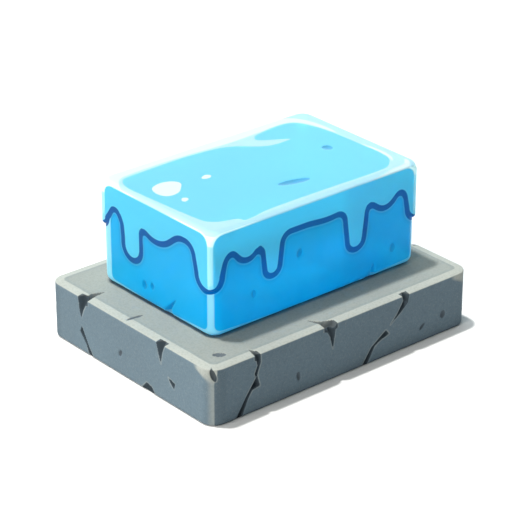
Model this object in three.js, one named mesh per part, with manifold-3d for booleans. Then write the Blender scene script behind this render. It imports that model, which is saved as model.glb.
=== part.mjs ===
// A block of ice on a stone slab. Water has run over the block's top and frozen again on its sides, so a thin
// outer layer ends part of the way down in a line of drips. The slab is cracked and chipped along its edges.
// Millimetres, +Z up, with the origin at the middle of the slab's underside.
// "front" is the -Y side, "right" the +X side, "back" the +Y side and "left" the -X side.
import * as THREE from "three";
import { mergeVertices } from "three/addons/utils/BufferGeometryUtils.js";
import Module from "manifold-3d";

const wasm = await Module();
wasm.setup();

// Stone slab: along its top edge a rim of the given width slopes down by rimDrop, to a worn edge
const SLAB = { length: 328, depth: 250, height: 60, corner: 15, rim: 9, rimDrop: 1.2, foot: 3 };
const SLAB_CORNER_STEPS = 6;

// Ice block: the clear body, without the layer that has run down over it
const ICE = { length: 260, depth: 170, height: 108, corner: 13, foot: 8 };
const ICE_PLACE = [5, 6];

// Refrozen layer: how far it stands out of the body, its rounded top edge and its lip
const MELT = { thickness: 3, topEdge: 9, lipRise: 2.2 };
// Height above the slab at which the layer ends between two drips, on each side of the block
const CURTAIN = { front: 83.3, right: 86, back: 87, left: 88.2 };
// Radius-like size of the hollow curve where a drip leaves the curtain
const DRIP_FILLET = 11;
// Spacing of the block's upright mesh lines, measured along the drip line
const DRIP_LINE_STEP = 5.6;

// Drips: the side, the place along it (x or y from the block's middle, counted on round the corner), the
// radius of the low end, the height of the low end above the slab, and how much wider it gets for each
// millimetre up. A wide one with a high low end is a sagging stretch of the curtain between two drips.
const DRIPS = [
  { side: "front", along: -87.6, radius: 13.9, low: 70.1, flare: 0 },
  { side: "front", along: -57.4, radius: 9.4, low: 44.2, flare: 0.13 },
  { side: "front", along: 11, radius: 36, low: 85.4, flare: 0 },
  { side: "front", along: 47.7, radius: 10.9, low: 38.6, flare: 0.13 },
  { side: "front", along: 85.2, radius: 15.3, low: 71.4, flare: 0 },
  { side: "front", along: 128, radius: 13, low: 48.5, flare: 0.2 },
  { side: "right", along: -42, radius: 16, low: 73, flare: 0 },
  { side: "right", along: -10, radius: 10.5, low: 41, flare: 0.08 },
  { side: "right", along: 26, radius: 20, low: 74, flare: 0 },
  { side: "right", along: 52, radius: 8.5, low: 57, flare: 0.1 },
  { side: "right", along: 82, radius: 11, low: 47, flare: 0.25 },
  { side: "back", along: 84, radius: 17, low: 71.5, flare: 0 },
  { side: "back", along: 52, radius: 9.5, low: 45, flare: 0.1 },
  { side: "back", along: 15, radius: 26, low: 75, flare: 0 },
  { side: "back", along: -21, radius: 11.5, low: 35.5, flare: 0.1 },
  { side: "back", along: -48, radius: 8, low: 60, flare: 0.06 },
  { side: "back", along: -84, radius: 20, low: 71, flare: 0 },
  { side: "back", along: -128.4, radius: 8.5, low: 61, flare: 0.67 },
  { side: "left", along: 40.4, radius: 4, low: 65.4, flare: 1 },
  { side: "left", along: 34.7, radius: 13.9, low: 38.5, flare: 0 },
  { side: "left", along: -2.2, radius: 33, low: 70.8, flare: 0 },
  { side: "left", along: -77.1, radius: 14.8, low: 47.7, flare: 0.25 },
];

// Broken-out notches in the block's bottom edge, as outlines of place along the side and height
const ICE_NOTCH_DEPTH = 14;
const ICE_NOTCHES = [
  { side: "left", outline: [[-8, -1], [-20.5, 12.5], [-34, 24], [-24, 9], [-26, -1]] },
  { side: "front", outline: [[58, -1], [67, 7], [72.2, 17.5], [75.3, 4], [76, -1]] },
  { side: "right", outline: [[22, -1], [27, 8], [30, 19], [34, 5], [38, -1]] },
  { side: "back", outline: [[-60, -1], [-66, 10], [-75, 15], [-71, 5], [-78, -1]] },
];

// Small hollows in the block's sides: place, half width, half height, turn in degrees
const ICE_PIT_DEPTH = 1.6;
const ICE_PITS = [
  { side: "left", along: 17, up: 18.9, half: [3.2, 4.8], turn: 0 },
  { side: "left", along: 5, up: 21.7, half: [2.7, 3.6], turn: 0 },
  { side: "front", along: -80, up: 32.3, half: [2.7, 4.3], turn: 8 },
  { side: "front", along: -23.7, up: 57, half: [3.2, 4.6], turn: -25 },
  { side: "front", along: 96.8, up: 24.9, half: [3.3, 4.6], turn: 0 },
  { side: "right", along: -48, up: 30, half: [3, 4.6], turn: 10 },
  { side: "right", along: 44, up: 36, half: [2.6, 4], turn: 0 },
  { side: "back", along: 82, up: 28, half: [3.2, 4.6], turn: -12 },
  { side: "back", along: 10, up: 48, half: [2.8, 4.2], turn: 0 },
  { side: "back", along: -98, up: 34, half: [3, 4.4], turn: 15 },
];

// Shallow dents in the block's top, from its middle
const TOP_DENTS = [
  { at: [5, -43.5], half: [17, 4.6], depth: 1.3, turn: -14 },
  { at: [83.5, -3.2], half: [5.2, 4.6], depth: 1.1, turn: 0 },
];

// Cracks and chips of the slab's sides and top, as outlines that each narrow towards their floor
const CRACK_TAPER = 0.35;
const SLAB_CUTS = [
  // Left side: a wedge at the rim near the back with its spur on the top, and its lower piece
  { side: "left", depth: 6, outline: [[78, 62], [60, 66], [63.5, 56], [69, 47], [73.2, 36.5], [76, 46]] },
  { side: "top", depth: 4, outline: [[-170, 70], [-152, 70.5], [-139, 65.4], [-152, 64], [-170, 61]] },
  { side: "left", depth: 5, outline: [[73, 28.5], [67.7, 19.4], [62.9, 11.3], [54, -1], [61, -1], [66, 10], [76, 21.4]] },
  // Left side: a wedge at the rim, a slanting chip and a notch in the bottom edge
  { side: "left", depth: 6, outline: [[-43, 62], [-60, 66], [-56, 57], [-53, 50], [-50.8, 38], [-47, 48]] },
  { side: "left", depth: 3, outline: [[-61.3, 28], [-71.8, 25], [-70, 18.5], [-64.5, 23]] },
  { side: "left", depth: 6, outline: [[-19, -1], [-28.5, 9.2], [-36, 7], [-43, -1]] },
  // Front side: a crack from the rim to the bottom edge, with a side chip and a spur on the top
  { side: "front", depth: 6, outline: [[-106, 64], [-105.5, 50], [-109, 41], [-110.5, 35], [-113, 40], [-109.5, 48], [-113, 64]] },
  { side: "front", depth: 5, outline: [[-110, 38], [-106.5, 26], [-116, 24.5], [-121, 17], [-129, -1], [-137, -1], [-124, 19], [-115, 31]] },
  { side: "top", depth: 4, outline: [[-110.5, -112], [-106, -121], [-106, -130], [-114, -130], [-112, -120]] },
  // Front side: a wedge at the rim with a long spur on the top
  { side: "front", depth: 6, outline: [[-12, 64], [-14.3, 47], [-16.5, 33], [-20, 47], [-26, 57], [-27, 64]] },
  { side: "top", depth: 4, outline: [[-33, -101], [-24, -113.5], [-11, -119], [-11, -130], [-28, -130], [-27, -118]] },
  // Front side: a leaning wedge at the rim, and below it a crack down to the bottom edge
  { side: "front", depth: 6, outline: [[71, 64], [83, 64], [80.5, 50], [70, 41.5], [58, 33.5], [67, 43], [74, 54]] },
  { side: "front", depth: 4, outline: [[52, 29.5], [56.5, 24], [46, 21.4], [37.7, 17.3], [27, -1], [20, -1], [33, 17], [42, 23]] },
  // Right side
  { side: "right", depth: 6, outline: [[-52, 64], [-38, 64], [-41, 52], [-45, 42], [-46.5, 32], [-49, 45]] },
  { side: "right", depth: 5, outline: [[38, 32], [44, 26], [41, 18], [47, 7], [48, -1], [40, -1], [41, 8], [36, 20]] },
  { side: "right", depth: 3, outline: [[84, 40], [92, 36], [95, 29], [87, 32]] },
  // Back side
  { side: "back", depth: 6, outline: [[92, 64], [108, 64], [104, 52], [99, 37], [97, 49]] },
  { side: "back", depth: 6, outline: [[-44, 64], [-30, 64], [-34, 51], [-42, 40], [-50, 33], [-43, 45]] },
  { side: "back", depth: 5, outline: [[-54, 29], [-48, 23], [-51, 12], [-46, -1], [-54, -1], [-58, 12]] },
  { side: "back", depth: 6, outline: [[28, -1], [36, 9], [44, 6], [50, -1]] },
  { side: "back", depth: 3, outline: [[-118, 36], [-108, 31], [-111, 25], [-117, 29]] },
];

// Small hollows in the slab's sides and top
const SLAB_PIT_DEPTH = 2;
const SLAB_PITS = [
  { side: "left", along: 12, up: 23.2, half: [2.2, 3.8], turn: -25 },
  { side: "front", along: -59, up: 18.8, half: [2.2, 4.8], turn: 8 },
  { side: "front", along: 128.6, up: 21.2, half: [3.4, 4.3], turn: 0 },
  { side: "front", along: 100.8, up: 16.8, half: [1.8, 4.4], turn: -50 },
  { side: "right", along: -78, up: 24, half: [3, 4.2], turn: 20 },
  { side: "right", along: 4, up: 19, half: [2, 4.4], turn: 0 },
  { side: "back", along: 60, up: 26, half: [3.2, 4.2], turn: 0 },
  { side: "back", along: -4, up: 18, half: [2, 4.4], turn: 30 },
  { side: "top", along: -151, up: 5.1, half: [9.2, 1.8], turn: -8 },
  { side: "top", along: -137, up: -103.5, half: [6.6, 3.6], turn: -39 },
  { side: "top", along: 148, up: 58, half: [8, 1.9], turn: 70 },
  { side: "top", along: -60, up: 112, half: [7.5, 1.9], turn: 12 },
];

// Chips on the slab's upright corners: which way the corner faces, in degrees from the front, and height
const CORNER_CHIPS = [
  { facing: -42, up: 53, half: [2.6, 6.5], turn: 18 },
  { facing: -130, up: 35, half: [2.6, 4], turn: 0 },
  { facing: 132, up: 44, half: [3, 6], turn: -14 },
];

// How far a cutting shape stands out of the surface that it cuts
const PROUD = 4;

// A side's sense: whether x or y grows or falls while one walks round the block counter-clockwise
const SIDES = ["front", "right", "back", "left"];
const SENSE = { front: 1, right: 1, back: -1, left: -1, top: 1 };

const degrees = THREE.MathUtils.degToRad;

// A rounded rectangle as a walk round it, counter-clockwise from the left end of its straight front side.
class Outline {
  constructor({ length, depth, corner }) {
    this.halfX = length / 2 - corner;
    this.halfY = depth / 2 - corner;
    this.radius = corner;
    this.arc = (corner * Math.PI) / 2;
    this.total = 4 * (this.halfX + this.halfY + this.arc);
  }

  halfOf(side) {
    return side % 2 ? this.halfY : this.halfX;
  }

  startOf(side) {
    let start = 0;
    for (let before = 0; before < side; before += 1) {
      start += 2 * this.halfOf(before) + this.arc;
    }
    return start;
  }

  // The walk's distance to a place on a side, given from the side's middle in x or y
  distanceTo(side, along) {
    const index = SIDES.indexOf(side);
    return this.startOf(index) + this.halfOf(index) + SENSE[side] * along;
  }

  // The side that a distance lies on, each corner being shared by its two sides
  sideAt(distance) {
    const turned = (distance + this.arc / 2) % this.total;
    let side = 3;
    while (side > 0 && turned < this.startOf(side)) {
      side -= 1;
    }
    return SIDES[side];
  }

  // The point at a distance, moved outward
  pointAt(distance, outward) {
    let side = 3;
    while (side > 0 && distance < this.startOf(side)) {
      side -= 1;
    }
    const rest = distance - this.startOf(side) - 2 * this.halfOf(side);
    const heading = (side * Math.PI) / 2 + Math.max(rest, 0) / this.radius;
    const back = Math.max(-rest, 0);
    const centreX = side < 2 ? this.halfX : -this.halfX;
    const centreY = side === 1 || side === 2 ? this.halfY : -this.halfY;
    const reach = this.radius + outward;
    return [
      centreX - back * Math.cos(heading) + reach * Math.sin(heading),
      centreY - back * Math.sin(heading) - reach * Math.cos(heading),
    ];
  }
}

// A closed solid made of upright lines round an outline. profileAt gives a line's points, from the middle of
// the bottom outward and up to the middle of the top, as distance out of the outline and height.
function wrappedSolid(outline, distances, profileAt) {
  const positions = [];
  const indices = [];
  const columns = distances.length;
  const profiles = distances.map((distance) => profileAt(distance));
  const rows = profiles[0].length;
  for (let row = 0; row < rows; row += 1) {
    for (let column = 0; column < columns; column += 1) {
      const [outward, height] = profiles[column][row];
      positions.push(...outline.pointAt(distances[column], outward), height);
    }
  }
  const bottomMiddle = rows * columns;
  const topMiddle = bottomMiddle + 1;
  positions.push(0, 0, profiles[0][0][1]);
  positions.push(0, 0, profiles[0][rows - 1][1]);
  const topRow = (rows - 1) * columns;
  for (let column = 0; column < columns; column += 1) {
    const next = (column + 1) % columns;
    for (let row = 0; row < rows - 1; row += 1) {
      const low = row * columns;
      const high = low + columns;
      indices.push(low + column, low + next, high + next);
      indices.push(low + column, high + next, high + column);
    }
    indices.push(bottomMiddle, next, column);
    indices.push(topMiddle, topRow + column, topRow + next);
  }
  const geometry = new THREE.BufferGeometry();
  geometry.setAttribute("position", new THREE.Float32BufferAttribute(positions, 3));
  geometry.setIndex(indices);
  return geometry;
}

// Points of a quarter-round edge, as distance out of the outline and height
function quarterRound(outward, height, radius, steps, fromAngle) {
  const points = [];
  for (let step = 0; step <= steps; step += 1) {
    const angle = fromAngle + (step / steps) * (Math.PI / 2);
    points.push([outward + radius * Math.cos(angle), height + radius * Math.sin(angle)]);
  }
  return points;
}

function toManifold(geometry) {
  const bare = geometry.clone();
  bare.deleteAttribute("normal");
  bare.deleteAttribute("uv");
  const merged = mergeVertices(bare);
  const vertProperties = new Float32Array(merged.getAttribute("position").array);
  const triVerts = new Uint32Array(merged.getIndex().array);
  return new wasm.Manifold(new wasm.Mesh({ numProp: 3, vertProperties, triVerts }));
}

function toGeometry(solid) {
  const mesh = solid.getMesh();
  const geometry = new THREE.BufferGeometry();
  geometry.setAttribute("position", new THREE.Float32BufferAttribute(Array.from(mesh.vertProperties), 3));
  geometry.setIndex(Array.from(mesh.triVerts));
  geometry.computeVertexNormals();
  return geometry;
}

function cutAway(geometry, cutters) {
  let solid = toManifold(geometry);
  for (const cutter of cutters) {
    solid = solid.subtract(toManifold(cutter));
  }
  return toGeometry(solid);
}

// The place on a block's surface: local x runs along it, local y up it and local z out of it.
function surfaceFrame(size, side) {
  if (side === "top") {
    return new THREE.Matrix4().makeTranslation(0, 0, size.height);
  }
  const facing = (SIDES.indexOf(side) * Math.PI) / 2;
  const reach = side === "front" || side === "back" ? size.depth / 2 : size.length / 2;
  return facingFrame(facing, [reach * Math.sin(facing), -reach * Math.cos(facing), 0]);
}

function facingFrame(facing, origin) {
  const along = new THREE.Vector3(Math.cos(facing), Math.sin(facing), 0);
  const up = new THREE.Vector3(0, 0, 1);
  const out = new THREE.Vector3(Math.sin(facing), -Math.cos(facing), 0);
  return new THREE.Matrix4().makeBasis(along, up, out).setPosition(...origin);
}

// A cutting shape whose section is an outline drawn on a surface, narrowing towards its floor
function taperedCut(size, { side, outline, depth }) {
  const points = outline.map(([along, up]) => new THREE.Vector2(SENSE[side] * along, up));
  const middle = new THREE.Vector2();
  points.forEach((point) => middle.addScaledVector(point, 1 / points.length));
  const geometry = new THREE.ExtrudeGeometry(new THREE.Shape(points), {
    depth: depth + PROUD,
    bevelEnabled: false,
  });
  const position = geometry.getAttribute("position");
  for (let index = 0; index < position.count; index += 1) {
    if (position.getZ(index) === 0) {
      const x = THREE.MathUtils.lerp(middle.x, position.getX(index), CRACK_TAPER);
      const y = THREE.MathUtils.lerp(middle.y, position.getY(index), CRACK_TAPER);
      position.setXY(index, x, y);
    }
  }
  geometry.translate(0, 0, -depth);
  return geometry.applyMatrix4(surfaceFrame(size, side));
}

// A cutting shape for a small oval hollow, in a frame on the surface
function ovalCut(frame, along, up, half, turn, depth) {
  const geometry = new THREE.SphereGeometry(1, 10, 6);
  geometry.scale(half[0], half[1], depth);
  geometry.rotateZ(degrees(turn));
  geometry.translate(along, up, 0);
  return geometry.applyMatrix4(frame);
}

function pitCuts(size, pits, depth) {
  return pits.map(({ side, along, up, half, turn }) => {
    return ovalCut(surfaceFrame(size, side), SENSE[side] * along, up, half, turn, depth);
  });
}

// Smooth union of two distances, with a hollow curve of the given size where they meet
function smoothUnion(first, second, fillet) {
  const overlap = Math.max(fillet - Math.abs(first - second), 0) / fillet;
  return Math.min(first, second) - (overlap * overlap * fillet) / 4;
}

// Signed distance to the refrozen layer's edge, at a distance round the block and a height above the slab
function meltDistance(outline, distance, height) {
  let nearest = CURTAIN[outline.sideAt(distance)] - height;
  for (const { side, along, radius, low, flare } of DRIPS) {
    let offset = Math.abs(distance - outline.distanceTo(side, along)) % outline.total;
    offset = Math.min(offset, outline.total - offset);
    const across = Math.max(offset - flare * Math.max(height - low - radius, 0), 0);
    const below = Math.max(low + radius - height, 0);
    nearest = smoothUnion(nearest, Math.hypot(across, below) - radius, DRIP_FILLET);
  }
  return nearest;
}

// Height of the layer's lower edge at a distance round the block, by halving the range that holds it
function meltEdgeHeight(outline, distance) {
  let below = 20;
  let above = ICE.height - MELT.topEdge;
  while (above - below > 0.01) {
    const middle = (above + below) / 2;
    if (meltDistance(outline, distance, middle) > 0) {
      below = middle;
    } else {
      above = middle;
    }
  }
  return above;
}

// Distances round the block that are evenly spaced along the drip line, so that steep drips get more of them
function dripLineDistances(outline) {
  const fineSteps = Math.round(outline.total / 0.5);
  const lengths = [0];
  let height = meltEdgeHeight(outline, 0);
  for (let step = 1; step <= fineSteps; step += 1) {
    const nextHeight = meltEdgeHeight(outline, (step / fineSteps) * outline.total);
    lengths.push(lengths[step - 1] + Math.hypot(outline.total / fineSteps, nextHeight - height));
    height = nextHeight;
  }
  const columns = Math.round(lengths[fineSteps] / DRIP_LINE_STEP);
  const distances = [];
  for (let column = 0, step = 0; column < columns; column += 1) {
    const wanted = (column / columns) * lengths[fineSteps];
    while (lengths[step + 1] < wanted) {
      step += 1;
    }
    const share = (wanted - lengths[step]) / (lengths[step + 1] - lengths[step]);
    distances.push(((step + share) / fineSteps) * outline.total);
  }
  return distances;
}

function iceBlock() {
  const outline = new Outline(ICE);
  const foot = quarterRound(-ICE.foot, ICE.foot, ICE.foot, 2, -Math.PI / 2);
  const topEdge = quarterRound(MELT.thickness - MELT.topEdge, ICE.height - MELT.topEdge, MELT.topEdge, 3, 0);
  const profileAt = (distance) => {
    const edge = meltEdgeHeight(outline, distance);
    const lip = [
      [0, edge],
      [MELT.thickness * 0.75, edge + MELT.lipRise * 0.15],
      [MELT.thickness, edge + MELT.lipRise],
    ];
    return [...foot, ...lip, ...topEdge];
  };
  const geometry = wrappedSolid(outline, dripLineDistances(outline), profileAt);
  const notches = ICE_NOTCHES.map((notch) => taperedCut(ICE, { ...notch, depth: ICE_NOTCH_DEPTH }));
  const pits = pitCuts(ICE, ICE_PITS, ICE_PIT_DEPTH);
  const dents = TOP_DENTS.map(({ at, half, depth, turn }) => {
    return ovalCut(surfaceFrame(ICE, "top"), at[0], at[1], half, turn, depth);
  });
  const material = new THREE.MeshStandardMaterial({ color: 0x58cdf8, roughness: 0.2, metalness: 0 });
  const mesh = new THREE.Mesh(cutAway(geometry, [...notches, ...pits, ...dents]), material);
  mesh.name = "ice_block";
  mesh.position.set(ICE_PLACE[0], ICE_PLACE[1], SLAB.height);
  return mesh;
}

function slabDistances(outline) {
  const distances = [];
  for (let side = 0; side < SIDES.length; side += 1) {
    const start = outline.startOf(side);
    distances.push(start);
    for (let step = 0; step < SLAB_CORNER_STEPS; step += 1) {
      distances.push(start + 2 * outline.halfOf(side) + (step / SLAB_CORNER_STEPS) * outline.arc);
    }
  }
  return distances;
}

function stoneSlab() {
  const outline = new Outline(SLAB);
  const foot = quarterRound(-SLAB.foot, SLAB.foot, SLAB.foot, 2, -Math.PI / 2);
  const rim = [
    [0, SLAB.height - SLAB.rimDrop - 1.3],
    [-1, SLAB.height - SLAB.rimDrop],
    [-SLAB.rim, SLAB.height],
  ];
  const geometry = wrappedSolid(outline, slabDistances(outline), () => [...foot, ...rim]);
  const cuts = SLAB_CUTS.map((cut) => taperedCut(SLAB, cut));
  const pits = pitCuts(SLAB, SLAB_PITS, SLAB_PIT_DEPTH);
  const chips = CORNER_CHIPS.map(({ facing, up, half, turn }) => {
    const angle = degrees(facing);
    const cornerX = Math.sign(Math.sin(angle)) * outline.halfX + outline.radius * Math.sin(angle);
    const cornerY = -Math.sign(Math.cos(angle)) * outline.halfY - outline.radius * Math.cos(angle);
    return ovalCut(facingFrame(angle, [cornerX, cornerY, 0]), 0, up, half, turn, SLAB_PIT_DEPTH);
  });
  const material = new THREE.MeshStandardMaterial({ color: 0x8f9da1, roughness: 0.9, metalness: 0 });
  const mesh = new THREE.Mesh(cutAway(geometry, [...cuts, ...pits, ...chips]), material);
  mesh.name = "stone_slab";
  return mesh;
}

const block = new THREE.Group();
block.add(stoneSlab(), iceBlock());

export default block;
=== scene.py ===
"""A block of ice on a stone slab: the fine surfaces, the finishes, the floor, the lights and the camera."""

import math

import bpy
import numpy as np
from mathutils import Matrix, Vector


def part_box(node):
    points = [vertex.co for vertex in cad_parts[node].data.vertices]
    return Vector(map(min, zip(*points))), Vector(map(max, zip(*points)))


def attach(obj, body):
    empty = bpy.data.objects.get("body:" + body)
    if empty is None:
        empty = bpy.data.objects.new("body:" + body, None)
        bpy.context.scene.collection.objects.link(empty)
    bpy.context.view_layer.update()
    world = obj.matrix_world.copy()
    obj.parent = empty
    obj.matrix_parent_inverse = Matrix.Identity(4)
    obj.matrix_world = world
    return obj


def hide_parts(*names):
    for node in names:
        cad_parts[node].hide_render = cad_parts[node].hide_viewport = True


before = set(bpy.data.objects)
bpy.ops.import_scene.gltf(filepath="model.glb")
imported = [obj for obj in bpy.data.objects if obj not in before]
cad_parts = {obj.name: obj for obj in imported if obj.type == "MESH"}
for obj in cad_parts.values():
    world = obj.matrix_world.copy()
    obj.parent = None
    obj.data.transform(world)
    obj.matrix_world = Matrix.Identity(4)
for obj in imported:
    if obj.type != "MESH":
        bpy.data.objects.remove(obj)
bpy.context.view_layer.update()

bl_info = {
    "name": "Ice block on a stone slab",
    "version": (1, 0, 0),
    "blender": (4, 5, 0),
    "location": "3D View > Sidebar > Ice block",
    "description": "Builds a block of ice with refrozen drips, and the cracked stone slab under it",
    "category": "Add Mesh",
}

MM = 0.001
ICE_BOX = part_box("ice_block")
SLAB_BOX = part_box("stone_slab")

SIDES = ("front", "right", "back", "left")
# Whether x or y grows or falls on a side while one walks round the block counter-clockwise
SENSE = {"front": 1, "right": 1, "back": -1, "left": -1}

# Height above the slab at which the refrozen layer ends between two drips, on each side, in millimetres
CURTAIN = {"front": 83.3, "right": 86, "back": 87, "left": 88.2}
# Drips: side, place along it counted on round the corner, radius and height of the low end, widening upward
DRIPS = (
    ("front", -87.6, 13.9, 70.1, 0),
    ("front", -57.4, 9.4, 44.2, 0.13),
    ("front", 11, 36, 85.4, 0),
    ("front", 47.7, 10.9, 38.6, 0.13),
    ("front", 85.2, 15.3, 71.4, 0),
    ("front", 128, 13, 48.5, 0.2),
    ("right", -42, 16, 73, 0),
    ("right", -10, 10.5, 41, 0.08),
    ("right", 26, 20, 74, 0),
    ("right", 52, 8.5, 57, 0.1),
    ("right", 82, 11, 47, 0.25),
    ("back", 84, 17, 71.5, 0),
    ("back", 52, 9.5, 45, 0.1),
    ("back", 15, 26, 75, 0),
    ("back", -21, 11.5, 35.5, 0.1),
    ("back", -48, 8, 60, 0.06),
    ("back", -84, 20, 71, 0),
    ("back", -128.4, 8.5, 61, 0.67),
    ("left", 40.4, 4, 65.4, 1),
    ("left", 34.7, 13.9, 38.5, 0),
    ("left", -2.2, 33, 70.8, 0),
    ("left", -77.1, 14.8, 47.7, 0.25),
)
DRIP_FILLET = 11
# A height that no drip reaches
LOWEST_DRIP = 20.0

# Broken-out notches in the block's bottom edge: side and outline of place along it and height
ICE_NOTCHES = (
    ("left", ((-8, -1), (-20.5, 12.5), (-34, 24), (-24, 9), (-26, -1))),
    ("front", ((58, -1), (67, 7), (72.2, 17.5), (75.3, 4), (76, -1))),
    ("right", ((22, -1), (27, 8), (30, 19), (34, 5), (38, -1))),
    ("back", ((-60, -1), (-66, 10), (-75, 15), (-71, 5), (-78, -1))),
)
# Small hollows in the block's sides: side, place along, height, half width, half height, turn in degrees
ICE_PITS = (
    ("left", 17, 18.9, 3.2, 4.8, 0),
    ("left", 5, 21.7, 2.7, 3.6, 0),
    ("front", -80, 32.3, 2.7, 4.3, 8),
    ("front", -23.7, 57, 3.2, 4.6, -25),
    ("front", 96.8, 24.9, 3.3, 4.6, 0),
    ("right", -48, 30, 3, 4.6, 10),
    ("right", 44, 36, 2.6, 4, 0),
    ("back", 82, 28, 3.2, 4.6, -12),
    ("back", 10, 48, 2.8, 4.2, 0),
    ("back", -98, 34, 3, 4.4, 15),
)
# Shallow dents in the block's top: place from its middle, half length, half width, turn in degrees, depth
TOP_DENTS = (
    (5, -43.5, 17, 4.6, -14, 1.2),
    (83.5, -3.2, 5.2, 5.6, 0, 1.1),
)
# Outline of the clear part of the block's top, inside its rim of frost and painted highlight: x and y from
# the block's middle
CLEAR_TOP = (
    (96, 68), (83, 70), (59, 67), (48, 65), (43, 60), (42, 56), (44, 53), (68, 38.5), (71, 36), (70, 35.7),
    (47, 35), (33, 42), (14, 61), (-9, 66), (-40, 69), (-106, 67), (-115, 66), (-121, 60), (-124, 52),
    (-125, 40), (-120, -30), (-117, -55), (-115, -60), (-106, -68), (-87, -73), (-88, -78), (-85, -80),
    (-71, -79), (-58, -75), (30, -76), (51, -77), (87, -77), (96, -76), (107, -68), (113, -59), (115, -39),
    (114, -22), (114, 12), (110, 44), (103, 62),
)
# Outlines of white patches of painted glare laid as thicker frost: three patches in the rim and three spots
# on the clear part
FROST_GLARE_PATCHES = (
    ((-137.9, -19.7), (-134, 0), (-134.2, 24.3), (-132, 45), (-126, 59), (-117, 68.5), (-106, 70.5),
     (-78, 71.5), (-40, 71.5), (-9, 69), (8, 67.5), (24, 67), (40, 68), (59, 69), (83, 71.5), (97, 69.5),
     (105, 63), (111.5, 45), (115.5, 14), (118, 30), (117, 50), (112, 68), (103, 79), (92, 84), (84, 100),
     (-145, 100), (-145, -20)),
    ((114.5, -12), (118.5, -30), (119.5, -48), (116, -63), (108, -70.5), (113.5, -60), (115.5, -40),
     (114.8, -22)),
    ((54, -87), (56, -86), (84, -84), (98, -81), (111, -81), (116, -79), (123, -70), (123, -80), (113, -89),
     (111, -91), (95, -93), (75, -94), (61, -91)),
    ((-84, 32.5), (-79.7, 28), (-79.5, 23), (-80.9, 19.9), (-89.9, 10.2), (-92.3, 8.5), (-99.5, 5.8),
     (-106.4, 6.6), (-110.1, 9.8), (-112.4, 16.6), (-110.8, 26.5), (-108.8, 30), (-105.8, 32.8),
     (-98.3, 35.5), (-90.9, 35.3)),
    ((-47.3, 22), (-45.8, 18.3), (-47.8, 16.2), (-50.6, 14.9), (-55.4, 15.1), (-58.1, 18.8),
     (-56.1, 20.9), (-50.7, 23.1)),
    ((-97.3, -5), (-94.7, -7.6), (-97.1, -11.1), (-102.3, -13.1), (-103.9, -11.2), (-103.6, -8.6),
     (-102.1, -6.1), (-99.7, -4.5)),
)

# Cracks and chips of the slab: side, steepness of their walls, outline of place along the side and height
SLAB_CUTS = (
    ("left", 0.7, ((78, 62), (60, 66), (63.5, 56), (69, 47), (73.2, 36.5), (76, 46))),
    ("left", 0.6, ((73, 28.5), (67.7, 19.4), (62.9, 11.3), (54, -1), (61, -1), (66, 10), (76, 21.4))),
    ("left", 0.7, ((-43, 62), (-60, 66), (-56, 57), (-53, 50), (-50.8, 38), (-47, 48))),
    ("left", 0.8, ((-61.3, 28), (-71.8, 25), (-70, 18.5), (-64.5, 23))),
    ("left", 0.8, ((-19, -1), (-28.5, 9.2), (-36, 7), (-43, -1))),
    ("front", 0.5, ((-106, 64), (-105.5, 50), (-109, 41), (-110.5, 35), (-113, 40), (-109.5, 48),
        (-113, 64))),
    ("front", 0.6, ((-110, 38), (-106.5, 26), (-116, 24.5), (-121, 17), (-129, -1), (-137, -1), (-124, 19),
        (-115, 31))),
    ("front", 0.7, ((-12, 64), (-14.3, 47), (-16.5, 33), (-20, 47), (-26, 57), (-27, 64))),
    ("front", 0.7, ((71, 64), (83, 64), (80.5, 50), (70, 41.5), (58, 33.5), (67, 43), (74, 54))),
    ("front", 0.6, ((52, 29.5), (56.5, 24), (46, 21.4), (37.7, 17.3), (27, -1), (20, -1), (33, 17),
        (42, 23))),
    ("right", 0.7, ((-52, 64), (-38, 64), (-41, 52), (-45, 42), (-46.5, 32), (-49, 45))),
    ("right", 0.6, ((38, 32), (44, 26), (41, 18), (47, 7), (48, -1), (40, -1), (41, 8), (36, 20))),
    ("right", 0.8, ((84, 40), (92, 36), (95, 29), (87, 32))),
    ("back", 0.7, ((92, 64), (108, 64), (104, 52), (99, 37), (97, 49))),
    ("back", 0.7, ((-44, 64), (-30, 64), (-34, 51), (-42, 40), (-50, 33), (-43, 45))),
    ("back", 0.6, ((-54, 29), (-48, 23), (-51, 12), (-46, -1), (-54, -1), (-58, 12))),
    ("back", 0.8, ((28, -1), (36, 9), (44, 6), (50, -1))),
    ("back", 0.8, ((-118, 36), (-108, 31), (-111, 25), (-117, 29))),
)
# Where a crack runs on over the slab's top: steepness of its walls and outline of x and y
SLAB_TOP_CUTS = (
    (0.5, ((-170, 70), (-152, 70.5), (-139, 65.4), (-152, 64), (-170, 61))),
    (0.5, ((-110.5, -112), (-106, -121), (-106, -130), (-114, -130), (-112, -120))),
    (0.5, ((-33, -101), (-24, -113.5), (-11, -119), (-11, -130), (-28, -130), (-27, -118))),
)
# Small hollows in the slab's sides, given as the block's, and then in its top, given as ovals
SLAB_PITS = (
    ("left", 12, 23.2, 2.2, 3.8, -25),
    ("front", -59, 18.8, 2.2, 4.8, 8),
    ("front", 128.6, 21.2, 3.4, 4.3, 0),
    ("front", 100.8, 16.8, 1.8, 4.4, -50),
    ("right", -78, 24, 3, 4.2, 20),
    ("right", 4, 19, 2, 4.4, 0),
    ("back", 60, 26, 3.2, 4.2, 0),
    ("back", -4, 18, 2, 4.4, 30),
)
SLAB_TOP_PITS = (
    (-151, 5.1, 9.2, 1.8, -8),
    (-137, -103.5, 6.6, 3.6, -39),
    (148, 58, 8, 1.9, 70),
    (-60, 112, 7.5, 1.9, 12),
)
# Chips on the slab's upright corners: degrees that they face away from the front, height, half sizes, turn
CORNER_CHIPS = (
    (-42, 53, 2.6, 6.5, 18),
    (-130, 35, 2.6, 4, 0),
    (132, 44, 3, 6, -14),
)

# Distance where nothing is near, and floor of points that aren't sunk, in millimetres as the lengths below
FAR = 40.0
NOT_SUNK = -1000.0
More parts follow.
